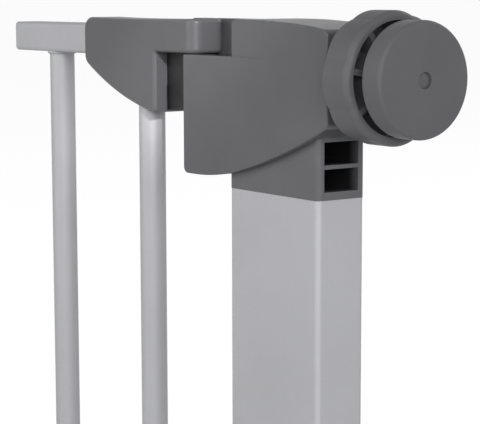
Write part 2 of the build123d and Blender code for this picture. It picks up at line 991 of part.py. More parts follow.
# Return spring: a helix about X, each quarter turn a pair of tangent arcs
coil_radius = (spring_diameter - spring_wire) / 2
coil_start = guide_face + spring_wire
coil_end = spring_bore_end - spring_wire
coil_rise = (coil_end - coil_start) / (2 * pi * spring_turns)
quarter_turns = 4 * spring_turns


def coil_point(turn):
    angle = 2 * pi * turn
    return Vector(
        coil_start + coil_rise * angle,
        coil_radius * cos(angle),
        slide_mid_z + coil_radius * sin(angle),
    )


def coil_tangent(turn):
    angle = 2 * pi * turn
    return Vector(coil_rise, -coil_radius * sin(angle), coil_radius * cos(angle)).normalized()


with BuildPart() as return_spring:
    with BuildLine() as coil:
        for i in range(quarter_turns):
            start, finish = coil_point(i / 4), coil_point((i + 1) / 4)
            leave, arrive = coil_tangent(i / 4), coil_tangent((i + 1) / 4)
            chord = finish - start
            across = chord.dot(leave + arrive)
            bend = 2 * (1 - leave.dot(arrive))
            reach = (-across + (across**2 + bend * chord.dot(chord)) ** 0.5) / bend
            first, second = start + leave * reach, finish - arrive * reach
            joint = (first + second) * 0.5
            TangentArc(start, joint, tangent=leave)
            TangentArc(joint, finish, tangent=second - first)
    with BuildSketch(Plane(coil_point(0), z_dir=coil_tangent(0))):
        Circle(spring_wire / 2)
    sweep(path=coil.line)
coil_points = [coil_point(i / 24) for i in range(24 * spring_turns + 1)]
coil_gap = min(
    (coil_points[i] - coil_points[j]).length - spring_wire
    for i in range(len(coil_points))
    for j in range(i + 12, len(coil_points))
)
print("least gap of the spring to itself", round(coil_gap, 2))
hand_in(return_spring, "return_spring")

# Spindle bush with its flange and neck, and the thrust washer on it
with BuildPart() as spindle_bush:
    rod_x(bush_left, keeper_right, 0, axis_z, bush_diameter)
    rod_x(keeper_right, keeper_right + bush_flange, 0, axis_z, bush_flange_diameter)
    rod_x(keeper_right + bush_flange, bush_face, 0, axis_z, bush_neck_diameter)
    rod_x(
        bush_left, bush_face, 0, axis_z, spindle_diameter + 2 * thread_gap, mode=Mode.SUBTRACT
    )
hand_in(spindle_bush, "spindle_bush")

with BuildPart() as thrust_washer:
    rod_x(bush_face, washer_face, 0, axis_z, washer_diameter)
    rod_x(
        bush_face,
        washer_face,
        0,
        axis_z,
        spindle_diameter + 2 * spindle_bore_gap,
        mode=Mode.SUBTRACT,
    )
hand_in(thrust_washer, "thrust_washer")

# Hand wheel: lobed rim, dished face with spokes, hub with a hexagonal seat for the nut
lobe_step = 360 / wheel_lobes
rim_inner = wheel_radius - wheel_rim
hub_face = wheel_right - wheel_hub_recess
web_face = wheel_left + wheel_web
nut_left = hub_face - nut_length


def wheel_point(radius, degrees):
    return (radius * cos(radians(degrees)), axis_z + radius * sin(radians(degrees)))


with BuildPart() as hand_wheel:
    with BuildSketch(Plane.YZ.offset(wheel_left)) as lobes:
        with BuildLine():
            for i in range(wheel_lobes):
                angle = wheel_lobe_angle + i * lobe_step
                ThreePointArc(
                    wheel_point(wheel_radius - wheel_lobe_depth, angle),
                    wheel_point(wheel_radius, angle + lobe_step / 2),
                    wheel_point(wheel_radius - wheel_lobe_depth, angle + lobe_step),
                )
        make_face()
        fillet(lobes.vertices(), wheel_cusp_radius)
    extrude(amount=wheel_width)
    fillet(hand_wheel.faces().sort_by(Axis.X)[-1].edges(), wheel_round)
    fillet(hand_wheel.faces().sort_by(Axis.X)[0].edges(), wheel_back_round)
    rod_x(web_face, wheel_right, 0, axis_z, 2 * rim_inner, mode=Mode.SUBTRACT)
    rod_x(wheel_left, hub_face, 0, axis_z, wheel_hub_diameter)
    with BuildSketch(Plane.YZ.offset(web_face)):
        with Locations((0, axis_z)):
            with PolarLocations((rim_inner + wheel_hub_diameter / 2) / 2, wheel_lobes, spoke_angle):
                Rectangle(rim_inner - wheel_hub_diameter / 2 + wheel_rim / 2, spoke_width)
    extrude(amount=wheel_width - wheel_web - spoke_recess)
    rod_x(
        wheel_left,
        wheel_right,
        0,
        axis_z,
        spindle_diameter + 2 * spindle_bore_gap,
        mode=Mode.SUBTRACT,
    )
    with BuildSketch(Plane.YZ.offset(nut_left - seat_gap)):
        with Locations((0, axis_z)):
            RegularPolygon(nut_flats / 2 + seat_gap, 6, major_radius=False)
    extrude(amount=nut_length + wheel_hub_recess + seat_gap, mode=Mode.SUBTRACT)
hand_in(hand_wheel, "hand_wheel")

with BuildPart() as wheel_nut:
    with BuildSketch(Plane.YZ.offset(nut_left)):
        with Locations((0, axis_z)):
            RegularPolygon(nut_flats / 2, 6, major_radius=False)
            Circle(spindle_diameter / 2 + thread_gap, mode=Mode.SUBTRACT)
    extrude(amount=nut_length)
hand_in(wheel_nut, "wheel_nut")

# Spindle with a stud for the pad plate and a tapped hole for the screw
stud_end = spindle_shoulder + stud_length
screw_seat = pad_plate_front - pad_screw_head_height
screw_tip = pad_plate_front - pad_screw_length

with BuildPart() as threaded_spindle:
    rod_x(spindle_left, spindle_shoulder, 0, axis_z, spindle_diameter)
    chamfer(threaded_spindle.faces().sort_by(Axis.X)[0].edges(), spindle_diameter / 10)
    rod_x(spindle_shoulder, stud_end, 0, axis_z, stud_diameter)
    rod_x(
        screw_tip - hole_gap,
        stud_end,
        0,
        axis_z,
        pad_screw_diameter + hole_gap,
        mode=Mode.SUBTRACT,
    )
hand_in(threaded_spindle, "threaded_spindle")

# Wall pad: stiff plate inside a soft cap, held by a countersunk screw under the cap's face
plate_radius = pad_radius - pad_skin - pad_fit

with BuildPart() as pad_plate:
    rod_x(pad_back, pad_plate_front, 0, axis_z, 2 * plate_radius)
    rod_x(spindle_shoulder, pad_back, 0, axis_z, pad_neck_diameter)
    rod_x(
        spindle_shoulder, stud_end + hole_gap, 0, axis_z, stud_diameter + hole_gap, mode=Mode.SUBTRACT
    )
    rod_x(
        stud_end,
        pad_plate_front,
        0,
        axis_z,
        pad_screw_diameter + hole_gap,
        mode=Mode.SUBTRACT,
    )
    rod_x(
        screw_seat, pad_plate_front, 0, axis_z, pad_screw_head + hole_gap, mode=Mode.SUBTRACT
    )
hand_in(pad_plate, "pad_plate")

with BuildPart() as wall_pad:
    rod_x(pad_back, pad_front, 0, axis_z, 2 * pad_radius)
    fillet(wall_pad.faces().sort_by(Axis.X)[-1].edges(), pad_round)
    fillet(wall_pad.faces().sort_by(Axis.X)[0].edges(), pad_back_round)
    rod_x(
        pad_back, pad_plate_front, 0, axis_z, 2 * (pad_radius - pad_skin), mode=Mode.SUBTRACT
    )
    rod_x(
        pad_front - pad_dimple_depth,
        pad_front,
        0,
        axis_z,
        pad_dimple,
        mode=Mode.SUBTRACT,
    )
hand_in(wall_pad, "wall_pad")

with BuildPart() as pad_screw:
    rod_x(screw_tip, screw_seat, 0, axis_z, pad_screw_diameter)
    rod_x(screw_seat, pad_plate_front - hole_gap, 0, axis_z, pad_screw_head)
    with BuildSketch(Plane.YZ.offset(pad_plate_front - hole_gap)):
        with Locations((0, axis_z)):
            RegularPolygon(pad_screw_diameter / 3, 6)
    extrude(amount=-pad_screw_head_height / 2, mode=Mode.SUBTRACT)
hand_in(pad_screw, "pad_screw")
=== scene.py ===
import math

import bpy
import numpy as np
from mathutils import Matrix, Vector


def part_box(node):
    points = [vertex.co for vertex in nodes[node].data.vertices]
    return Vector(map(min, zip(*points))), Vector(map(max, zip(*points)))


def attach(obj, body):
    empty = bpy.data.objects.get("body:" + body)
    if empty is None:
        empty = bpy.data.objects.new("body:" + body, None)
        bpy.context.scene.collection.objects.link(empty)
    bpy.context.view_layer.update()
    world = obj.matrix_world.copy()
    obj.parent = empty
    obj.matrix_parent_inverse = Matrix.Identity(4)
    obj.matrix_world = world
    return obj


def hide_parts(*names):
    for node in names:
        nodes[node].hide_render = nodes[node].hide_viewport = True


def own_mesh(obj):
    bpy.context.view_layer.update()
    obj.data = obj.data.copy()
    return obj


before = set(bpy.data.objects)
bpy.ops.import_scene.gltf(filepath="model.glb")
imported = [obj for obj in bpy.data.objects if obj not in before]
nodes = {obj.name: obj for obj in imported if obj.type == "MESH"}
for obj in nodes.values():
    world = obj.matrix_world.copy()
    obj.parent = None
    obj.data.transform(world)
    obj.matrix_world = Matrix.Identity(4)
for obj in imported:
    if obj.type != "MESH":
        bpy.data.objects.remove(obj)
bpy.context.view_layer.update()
scene = bpy.context.scene
print("stage: frame loaded,", len(nodes), "nodes")


# Small helpers for node trees
def setInputs(node, values):
    for name, value in values.items():
        node.inputs[name].default_value = value
    return node


def addNode(tree, kind, values=None, **settings):
    node = tree.nodes.new(kind)
    for name, value in settings.items():
        setattr(node, name, value)
    return setInputs(node, values or {})


def newGroup(name, inputs, outputs):
    tree = bpy.data.node_groups.new(name, "ShaderNodeTree")
    for socket, kind, value in inputs:
        made = tree.interface.new_socket(name=socket, in_out="INPUT", socket_type=kind)
        if value is not None:
            made.default_value = value
    for socket, kind in outputs:
        tree.interface.new_socket(name=socket, in_out="OUTPUT", socket_type=kind)
    return tree, tree.nodes.new("NodeGroupInput"), tree.nodes.new("NodeGroupOutput")


def placeGroup(tree, group, values):
    node = tree.nodes.new("ShaderNodeGroup")
    node.node_tree = group
    return setInputs(node, values)


# An effect is a group with two colours and two glosses to choose between, besides inputs of its own
def newEffect(name, ownInputs):
    inputs = [
        ("Vector", "NodeSocketVector", None),
        ("Dark", "NodeSocketColor", (0.1, 0.1, 0.1, 1)),
        ("Light", "NodeSocketColor", (0.2, 0.2, 0.2, 1)),
        ("Gloss Low", "NodeSocketFloat", 0.24),
        ("Gloss High", "NodeSocketFloat", 0.42),
    ]
    outputs = [
        ("Color", "NodeSocketColor"),
        ("Roughness", "NodeSocketFloat"),
        ("Height", "NodeSocketFloat"),
    ]
    return newGroup(name, inputs + ownInputs, outputs)


# The end that the effects share: the tone picks a colour, the drift picks a gloss, the relief is the height
def closeEffect(tree, inlet, outlet, tone, toneRange, drift, driftRange, relief):
    link = tree.links.new
    spread = addNode(tree, "ShaderNodeMapRange", {"From Min": toneRange[0], "From Max": toneRange[1]})
    blend = addNode(tree, "ShaderNodeMix", data_type="RGBA")
    gloss = addNode(tree, "ShaderNodeMapRange", {"From Min": driftRange[0], "From Max": driftRange[1]})
    link(tone, spread.inputs["Value"])
    link(spread.outputs["Result"], blend.inputs["Factor"])
    link(inlet.outputs["Dark"], blend.inputs["A"])
    link(inlet.outputs["Light"], blend.inputs["B"])
    link(drift, gloss.inputs["Value"])
    link(inlet.outputs["Gloss Low"], gloss.inputs["To Min"])
    link(inlet.outputs["Gloss High"], gloss.inputs["To Max"])
    link(blend.outputs["Result"], outlet.inputs["Color"])
    link(gloss.outputs["Result"], outlet.inputs["Roughness"])
    link(relief, outlet.inputs["Height"])
    return tree


# Shared effect: spark-eroded mould grain, with a slow drift of tone and gloss under it
def makeMouldGrain():
    tree, inlet, outlet = newEffect("mouldGrain", [("Grain Scale", "NodeSocketFloat", 2600.0)])
    link = tree.links.new
    fine = addNode(tree, "ShaderNodeTexNoise", {"Detail": 3.0, "Roughness": 0.55})
    pits = addNode(tree, "ShaderNodeTexVoronoi", feature="SMOOTH_F1")
    slow = addNode(tree, "ShaderNodeTexNoise", {"Scale": 38.0, "Detail": 4.0, "Roughness": 0.5})
    flow = addNode(tree, "ShaderNodeTexNoise", {"Scale": 110.0, "Detail": 2.0})
    half = addNode(tree, "ShaderNodeMath", {1: 0.55}, operation="MULTIPLY")
    height = addNode(tree, "ShaderNodeMath", operation="ADD")
    speck = addNode(tree, "ShaderNodeMath", {1: 0.3}, operation="MULTIPLY")
    tone = addNode(tree, "ShaderNodeMath", operation="ADD")
    for texture in (fine, pits, slow, flow):
        link(inlet.outputs["Vector"], texture.inputs["Vector"])
    link(inlet.outputs["Grain Scale"], fine.inputs["Scale"])
    link(inlet.outputs["Grain Scale"], half.inputs[0])
    link(half.outputs[0], pits.inputs["Scale"])
    link(fine.outputs["Fac"], height.inputs[0])
    link(pits.outputs["Distance"], height.inputs[1])
    link(fine.outputs["Fac"], speck.inputs[0])
    link(slow.outputs["Fac"], tone.inputs[0])
    link(speck.outputs[0], tone.inputs[1])
    return closeEffect(
        tree,
        inlet,
        outlet,
        tone=tone.outputs[0],
        toneRange=(0.45, 0.85),
        drift=flow.outputs["Fac"],
        driftRange=(0.15, 0.85),
        relief=height.outputs[0],
    )


# Shared effect: aluminium-flake powder coat, orange peel for the bump and flakes for the colour
def makePowderCoat():
    tree, inlet, outlet = newEffect("powderCoat", [("Flake Scale", "NodeSocketFloat", 5200.0)])
    link = tree.links.new
    flakes = addNode(tree, "ShaderNodeTexVoronoi")
    cloud = addNode(tree, "ShaderNodeTexNoise", {"Scale": 24.0, "Detail": 5.0, "Roughness": 0.6})
    peel = addNode(tree, "ShaderNodeTexNoise", {"Scale": 620.0, "Detail": 2.0, "Roughness": 0.4})
    flakeTone = addNode(tree, "ShaderNodeRGBToBW")
    share = addNode(tree, "ShaderNodeMath", {1: 0.35}, operation="MULTIPLY")
    tone = addNode(tree, "ShaderNodeMath", operation="ADD")
    for texture in (flakes, cloud, peel):
        link(inlet.outputs["Vector"], texture.inputs["Vector"])
    link(inlet.outputs["Flake Scale"], flakes.inputs["Scale"])
    link(flakes.outputs["Color"], flakeTone.inputs["Color"])
    link(flakeTone.outputs["Val"], share.inputs[0])
    link(share.outputs[0], tone.inputs[0])
    link(cloud.outputs["Fac"], tone.inputs[1])
    return closeEffect(
        tree,
        inlet,
        outlet,
        tone=tone.outputs[0],
        toneRange=(0.45, 0.95),
        drift=cloud.outputs["Fac"],
        driftRange=(0.3, 0.7),
        relief=peel.outputs["Fac"],
    )


# Shared effect: drawn or turned metal, streaks along one axis from a stretched noise
def makeDrawnMetal():
    tree, inlet, outlet = newEffect("drawnMetal", [("Streak", "NodeSocketVector", (60.0, 3000.0, 3000.0))])
    link = tree.links.new
    stretch = addNode(tree, "ShaderNodeVectorMath", operation="MULTIPLY")
    streaks = addNode(tree, "ShaderNodeTexNoise", {"Scale": 1.0, "Detail": 4.0, "Roughness": 0.6})
    stain = addNode(tree, "ShaderNodeTexNoise", {"Scale": 160.0, "Detail": 3.0})
    tone = addNode(tree, "ShaderNodeMath", operation="MULTIPLY")
    link(inlet.outputs["Vector"], stretch.inputs[0])
    link(inlet.outputs["Streak"], stretch.inputs[1])
    link(stretch.outputs["Vector"], streaks.inputs["Vector"])
    link(inlet.outputs["Vector"], stain.inputs["Vector"])
    link(streaks.outputs["Fac"], tone.inputs[0])
    link(stain.outputs["Fac"], tone.inputs[1])
    return closeEffect(
        tree,
        inlet,
        outlet,
        tone=tone.outputs[0],
        toneRange=(0.12, 0.42),
        drift=streaks.outputs["Fac"],
        driftRange=(0.3, 0.7),
        relief=streaks.outputs["Fac"],
    )


# Shared effect: painted shade in a cored pocket, by the depth behind its mouth and within half its width
def makePaintedPocketShade():
    tree, inlet, outlet = newGroup(
        "paintedPocketShade",
        [
            ("Vector", "NodeSocketVector", None),
            ("Color", "NodeSocketColor", (0.1, 0.1, 0.1, 1)),
            ("Shade", "NodeSocketColor", (0.01, 0.01, 0.01, 1)),
            ("Mouth", "NodeSocketFloat", 0.0),
            ("Fade", "NodeSocketFloat", 0.004),
            ("Middle", "NodeSocketFloat", 0.0),
            ("Half Width", "NodeSocketFloat", 0.01),
        ],
        [("Color", "NodeSocketColor")],
    )
    link = tree.links.new
    place = addNode(tree, "ShaderNodeSeparateXYZ")
    depth = addNode(tree, "ShaderNodeMath", operation="SUBTRACT")
    share = addNode(tree, "ShaderNodeMath", operation="DIVIDE", use_clamp=True)
    aside = addNode(tree, "ShaderNodeMath", operation="SUBTRACT")
    off = addNode(tree, "ShaderNodeMath", operation="ABSOLUTE")
    within = addNode(tree, "ShaderNodeMath", operation="LESS_THAN")
    mask = addNode(tree, "ShaderNodeMath", operation="MULTIPLY")
    blend = addNode(tree, "ShaderNodeMix", data_type="RGBA")
    link(inlet.outputs["Vector"], place.inputs["Vector"])
    link(inlet.outputs["Mouth"], depth.inputs[0])
    link(place.outputs["X"], depth.inputs[1])
    link(depth.outputs[0], share.inputs[0])
    link(inlet.outputs["Fade"], share.inputs[1])
    link(place.outputs["Y"], aside.inputs[0])
    link(inlet.outputs["Middle"], aside.inputs[1])
    link(aside.outputs[0], off.inputs[0])
    link(off.outputs[0], within.inputs[0])
    link(inlet.outputs["Half Width"], within.inputs[1])
    link(share.outputs[0], mask.inputs[0])
    link(within.outputs[0], mask.inputs[1])
    link(mask.outputs[0], blend.inputs["Factor"])
    link(inlet.outputs["Color"], blend.inputs["A"])
    link(inlet.outputs["Shade"], blend.inputs["B"])
    link(blend.outputs["Result"], outlet.inputs["Color"])
    return tree


# A finish is one effect group, its values, the depth of its bump and the shader's fixed values. Where
# shade values are given, the colour is first darkened by the painted shade of a cored pocket.
def makeFinish(name, group, values, bump, shader, shade=None):
    material = bpy.data.materials.new(name)
    material.use_nodes = True
    tree = material.node_tree
    principled = setInputs(tree.nodes["Principled BSDF"], shader)
    place = tree.nodes.new("ShaderNodeTexCoord")
    effect = placeGroup(tree, group, values)
    relief = addNode(tree, "ShaderNodeBump", {"Strength": bump["strength"], "Distance": bump["depth"]})
    link = tree.links.new
    link(place.outputs["Object"], effect.inputs["Vector"])
    colour = effect
    if shade:
        colour = placeGroup(tree, paintedPocketShade, shade)
        link(place.outputs["Object"], colour.inputs["Vector"])
        link(effect.outputs["Color"], colour.inputs["Color"])
    link(colour.outputs["Color"], principled.inputs["Base Color"])
    link(effect.outputs["Roughness"], principled.inputs["Roughness"])
    link(effect.outputs["Height"], relief.inputs["Height"])
    link(relief.outputs["Normal"], principled.inputs["Normal"])
    return material


# A grey of one level, with its blue raised by cool and its red by warm
def grey(level, cool=0.08, warm=0.0):
    return (level * (1 + warm), level, level * (1 + cool), 1)


mouldGrain = makeMouldGrain()
powderCoat = makePowderCoat()
drawnMetal = makeDrawnMetal()
paintedPocketShade = makePaintedPocketShade()

finishes = {
    "housingGrey": makeFinish(
        "housingGrey",
        mouldGrain,
        {"Dark": grey(0.076), "Light": grey(0.087), "Gloss Low": 0.3, "Gloss High": 0.37},
        {"strength": 0.25, "depth": 0.00002},
        {"Specular IOR Level": 0.2},
    ),
    "capGrey": makeFinish(
        "capGrey",
        mouldGrain,
        {"Dark": grey(0.082), "Light": grey(0.094), "Gloss Low": 0.3, "Gloss High": 0.37},
        {"strength": 0.25, "depth": 0.00002},
        {"Specular IOR Level": 0.2},
        # painted shade: the inside of the cap's cored pockets is darkened from the mouth inwards
        {"Mouth": 0.0266, "Fade": 0.005, "Middle": -0.00015, "Half Width": 0.0079, "Shade": grey(0.012)},
    ),
    "wheelGrey": makeFinish(
        "wheelGrey",
        mouldGrain,
        {
            "Dark": grey(0.077),
            "Light": grey(0.090),
            "Gloss Low": 0.44,
            "Gloss High": 0.52,
            "Grain Scale": 3200.0,
        },
        {"strength": 0.25, "depth": 0.00002},
        {"Specular IOR Level": 0.16},
    ),
    "padGrey": makeFinish(
        "padGrey",
        mouldGrain,
        {
            "Dark": grey(0.072),
            "Light": grey(0.083),
            "Gloss Low": 0.48,
            "Gloss High": 0.58,
            "Grain Scale": 1900.0,
        },
        {"strength": 0.35, "depth": 0.00003},
        {"Specular IOR Level": 0.2, "Sheen Weight": 0.04, "Sheen Roughness": 0.5},
    ),
    "innerDark": makeFinish(
        "innerDark",
        mouldGrain,
        {"Dark": grey(0.022), "Light": grey(0.030), "Gloss Low": 0.46, "Gloss High": 0.6},
        {"strength": 0.3, "depth": 0.00002},
        {"Specular IOR Level": 0.35},
    ),
    "silverCoat": makeFinish(
        "silverCoat",
        powderCoat,
        {"Dark": grey(0.322, 0.05), "Light": grey(0.357, 0.05), "Gloss Low": 0.54, "Gloss High": 0.62},
        {"strength": 0.2, "depth": 0.00004},
        {"Metallic": 0.35, "Specular IOR Level": 0.4},
    ),
    "zincSteel": makeFinish(
        "zincSteel",
        drawnMetal,
        {"Dark": grey(0.42, 0.03), "Light": grey(0.62, 0.03)},
        {"strength": 0.15, "depth": 0.00002},
        {"Metallic": 1.0},
    ),
    "blackSteel": makeFinish(
        "blackSteel",
        drawnMetal,
        {"Dark": grey(0.008), "Light": grey(0.018), "Gloss Low": 0.42, "Gloss High": 0.58},
        {"strength": 0.15, "depth": 0.00002},
        {"Specular IOR Level": 0.3},
    ),
}
print("stage: finishes made,", len(finishes))

finishOfNode = {
    "silverCoat": ["post_tube", "top_rail", "left_bar", "right_bar"],
    "capGrey": ["post_cap"],
    "housingGrey": ["keeper_front", "keeper_back", "grip_front", "grip_back", "thumb_slide"],
    "wheelGrey": ["hand_wheel"],
    "padGrey": ["wall_pad", "stop_buffer"],
    "innerDark": ["keeper_insert", "spring_guide", "spindle_bush", "pad_plate"],
    "blackSteel": ["drop_tongue", "latch_bolt"],
    "zincSteel": [
        "cap_rivets",
        "keeper_screws",
        "grip_screws",
        "bolt_pin",
        "return_spring",
        "thrust_washer",
        "wheel_nut",
        "threaded_spindle",
        "pad_screw",
    ],
}
for finish, members in finishOfNode.items():
    for member in members:
        slots = nodes[member].data.materials
        slots.clear()
        slots.append(finishes[finish])


# A piece from a grid of points: columns run round it and close on themselves. Rows close on themselves
# as well for a ring; otherwise a fan about the middle of the first and of the last row shuts each end.
# The signed volume of its triangles says whether the faces have to be turned to point outwards.
def surfacePiece(name, grid, finish, body, replaced=(), ring=False):
    rows, columns = grid.shape[:2]
    index = np.arange(rows * columns).reshape(rows, columns)
    beside = np.roll(index, -1, axis=1)
    points = grid.reshape(-1, 3)
    if ring:
        above, aboveBeside = np.roll(index, -1, axis=0), np.roll(beside, -1, axis=0)
        quads = np.stack((index, beside, aboveBeside, above), axis=-1).reshape(-1, 4)
        fans = np.empty((0, 3), dtype=int)
    else:
        quads = np.stack((index[:-1], beside[:-1], beside[1:], index[1:]), axis=-1).reshape(-1, 4)
        first = np.full(columns, len(points))
        fans = np.concatenate(
            (
                np.stack((beside[0], index[0], first), axis=-1),
                np.stack((index[-1], beside[-1], first + 1), axis=-1),
            )
        )
        points = np.concatenate((points, grid[:1].mean(axis=1), grid[-1:].mean(axis=1)))
    triangles = np.concatenate((quads[:, [0, 1, 2]], quads[:, [0, 2, 3]], fans))
    corners = points[triangles]
    volume = np.sum(corners[:, 0] * np.cross(corners[:, 1], corners[:, 2]))
    turn = 1 if volume > 0 else -1
    mesh = bpy.data.meshes.new(name)
    mesh.from_pydata(points.tolist(), [], quads[:, ::turn].tolist() + fans[:, ::turn].tolist())
    mesh.polygons.foreach_set("use_smooth", np.ones(len(mesh.polygons), dtype=bool))
    mesh.materials.append(finishes[finish])
    piece = bpy.data.objects.new(name, mesh)
    scene.collection.objects.link(piece)
    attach(piece, body)
    if replaced:
        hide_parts(*replaced)
    return piece


# A line of corners with each inner corner rounded: the arc's centre lies on the corner's bisector, and
# the arc is a blend of the two radii to its ends by the sines of the angles to them
def roundedLine(corners, radii, steps):
    corners = np.array(corners, dtype=float)
    line = [corners[:1]]
    for before, corner, after, radius in zip(corners, corners[1:], corners[2:], radii):
        back = (before - corner) / np.linalg.norm(before - corner)
        ahead = (after - corner) / np.linalg.norm(after - corner)
        half = math.acos(float(np.clip(back @ ahead, -1, 1))) / 2
        bisector = (back + ahead) / np.linalg.norm(back + ahead)
        centre = corner + bisector * radius / math.sin(half)
        start = corner + back * radius / math.tan(half) - centre
        end = corner + ahead * radius / math.tan(half) - centre
        sweep = math.pi - 2 * half
        share = np.linspace(0, 1, steps)[:, None]
        blend = np.sin((1 - share) * sweep) * start + np.sin(share * sweep) * end
        line.append(centre + blend / math.sin(sweep))
    line.append(corners[-1:])
    return np.concatenate(line)


# A turned shape: each point (x, radius) of the line goes round the X axis at the given height
def turnedSurface(line, height, columns):
    turn = np.linspace(0, 2 * np.pi, columns, endpoint=False)
    along = np.repeat(line[:, :1], columns, axis=1)
    radius = line[:, 1:]
    return np.stack((along, radius * np.cos(turn), height + radius * np.sin(turn)), axis=-1)


# Wall pad: a turned cap with a rounded rim, a soft dimple in its face and a seat for the stiff plate
padValues = {
    "skin": 0.0026,
    "face": 0.0036,
    "rimRound": 0.0014,
    "backRound": 0.0008,
    "lipRound": 0.0005,
    "crown": 0.00012,
    "dimpleRadius": 0.0029,
    "dimpleDepth": 0.0016,
    "dimpleRound": 0.0004,
    "dimpleDraft": 0.0002,
    "dimpleRim": 0.001,
    "axisGap": 0.0002,
    "arcSteps": 9,
    "columns": 192,
}
low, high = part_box("wall_pad")
padRadius = (high.z - low.z) / 2
seat = high.x - padValues["face"]
seatRadius = padRadius - padValues["skin"]
faceMiddle = high.x - padValues["dimpleDepth"]
dimple = padValues["dimpleRadius"]
padLine = roundedLine(
    [
        (seat, padValues["axisGap"]),
        (seat, seatRadius),
        (low.x, seatRadius),
        (low.x, padRadius),
        (high.x - padValues["crown"], padRadius),
        (high.x, dimple + padValues["dimpleRim"]),
        (high.x, dimple),
        (faceMiddle, dimple - padValues["dimpleDraft"]),
        (faceMiddle, padValues["axisGap"]),
    ],
    [
        padValues["lipRound"],
        padValues["lipRound"],
        padValues["backRound"],
        padValues["rimRound"],
        padValues["dimpleRound"],
        padValues["dimpleRound"] / 2,
        padValues["dimpleRound"] / 2,
    ],
    padValues["arcSteps"],
)
surfacePiece(
    "wallPadCap",
    turnedSurface(padLine, (low.z + high.z) / 2, padValues["columns"]),
    "padGrey",
    "wall_spindle",
    ["wall_pad"],
)


# Outline of a rounded oblong about the origin: corner centres plus a circle that is walked once round
def roundedOblong(halfWidth, halfHeight, radius, columns):
    turn = np.linspace(0, 2 * np.pi, columns, endpoint=False) + np.pi / columns
    across = np.sign(np.cos(turn)) * (halfWidth - radius) + radius * np.cos(turn)
    up = np.sign(np.sin(turn)) * (halfHeight - radius) + radius * np.sin(turn)
    return np.stack((across, up), axis=-1)


# Stop buffer: the oblong's outline, drawn in by a quarter circle at the front and crowned to the middle
bufferValues = {
    "corner": 0.0016,
    "round": 0.0006,
    "crown": 0.00025,
    "middle": 0.02,
    "columns": 96,
    "rows": 24,
}
low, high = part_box("stop_buffer")
centre = (low + high) / 2
half = (high - low) / 2
outline = roundedOblong(half.x, half.z, bufferValues["corner"], bufferValues["columns"])
turn = np.linspace(0, np.pi / 2, bufferValues["rows"])
shrink = np.linspace(1, bufferValues["middle"], bufferValues["rows"])
sideShare = 1 - bufferValues["round"] * (1 - np.cos(turn)) / half.z
sidePlace = low.y + bufferValues["crown"] + bufferValues["round"] * (1 - np.sin(turn))
sideLine = np.stack((sideShare, sidePlace), axis=-1)
crownLine = np.stack((sideLine[-1, 0] * shrink, low.y + bufferValues["crown"] * shrink**2), axis=-1)
bufferLine = np.concatenate(([[bufferValues["middle"], high.y], [1.0, high.y]], sideLine, crownLine[1:]))
grid = np.stack(
    (
        centre.x + bufferLine[:, :1] * outline[:, 0],
        np.repeat(bufferLine[:, 1:], len(outline), axis=1),
        centre.z + bufferLine[:, :1] * outline[:, 1],
    ),
    axis=-1,
)
surfacePiece("stopCushion", grid, "padGrey", "frame", ["stop_buffer"])

# Threaded spindle: the radius at each place is the crest's less a trapezoid wave of the distance along the
# axis less the turn times the pitch, faded out at the shoulder and cut by the chamfer at the tip
spindleValues = {
    "pitch": 0.003,
    "depth": 0.0009,
    "crest": 0.3,
    "flank": 0.25,
    "fade": 0.003,
    "runOut": 0.3,
    "chamfer": 0.001,
    "tipShare": 0.05,
    "studRadius": 0.004,
    "studLength": 0.007,
    "rowStep": 0.00012,
    "columns": 72,
}
low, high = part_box("threaded_spindle")
axisHeight = (low.z + high.z) / 2
crestRadius = (high.z - low.z) / 2
shoulder = high.x - spindleValues["studLength"]
along = np.arange(low.x, shoulder, spindleValues["rowStep"])[:, None]
turn = np.linspace(0, 2 * np.pi, spindleValues["columns"], endpoint=False)[None, :]
phase = np.mod((along - low.x) / spindleValues["pitch"] - turn / (2 * np.pi), 1.0)
fromCrest = np.abs(phase - 0.5)
fall = np.clip((fromCrest - spindleValues["crest"] / 2) / spindleValues["flank"], 0, 1)
fade = np.clip((shoulder - along) / spindleValues["fade"] - spindleValues["runOut"], 0, 1)
tip = np.clip(spindleValues["chamfer"] - (along - low.x), 0, None)
radius = crestRadius - np.maximum(spindleValues["depth"] * fall * fade, tip)
radius = np.concatenate(
    (
        np.full((1, spindleValues["columns"]), crestRadius * spindleValues["tipShare"]),
        radius,
        np.full((1, spindleValues["columns"]), crestRadius),
        np.full((2, spindleValues["columns"]), spindleValues["studRadius"]),
    )
)
along = np.concatenate(([[low.x]], along, [[shoulder], [shoulder], [high.x]]))
grid = np.stack(
    (
        np.repeat(along, spindleValues["columns"], axis=1),
        radius * np.cos(turn),
        axisHeight + radius * np.sin(turn),
    ),
    axis=-1,
)
surfacePiece("spindleThread", grid, "zincSteel", "wall_spindle", ["threaded_spindle"])

# Return spring: a wire along a helix about the X axis, with the wire's circle set across the helix's
# tangent.
springValues = {"wire": 0.0006, "turns": 7, "travel": 0.011, "columns": 12, "rowsPerTurn": 40}
low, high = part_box("return_spring")
coilHeight = (low.z + high.z) / 2
wireRadius = springValues["wire"] / 2
coilRadius = (high.z - low.z) / 2 - wireRadius
sweep = 2 * np.pi * springValues["turns"]
rise = (high.x - low.x - springValues["wire"]) / sweep
slope = math.atan2(rise, coilRadius)
turn = np.linspace(0, sweep, springValues["turns"] * springValues["rowsPerTurn"] + 1)[:, None]
section = np.linspace(0, 2 * np.pi, springValues["columns"], endpoint=False)[None, :]
outward = coilRadius + wireRadius * np.cos(section)
aside = wireRadius * np.sin(section)
grid = np.stack(
    (
        low.x + wireRadius + rise * turn - aside * math.cos(slope),
        outward * np.cos(turn) - aside * math.sin(slope) * np.sin(turn),
        coilHeight + outward * np.sin(turn) + aside * math.sin(slope) * np.cos(turn),
    ),
    axis=-1,
)
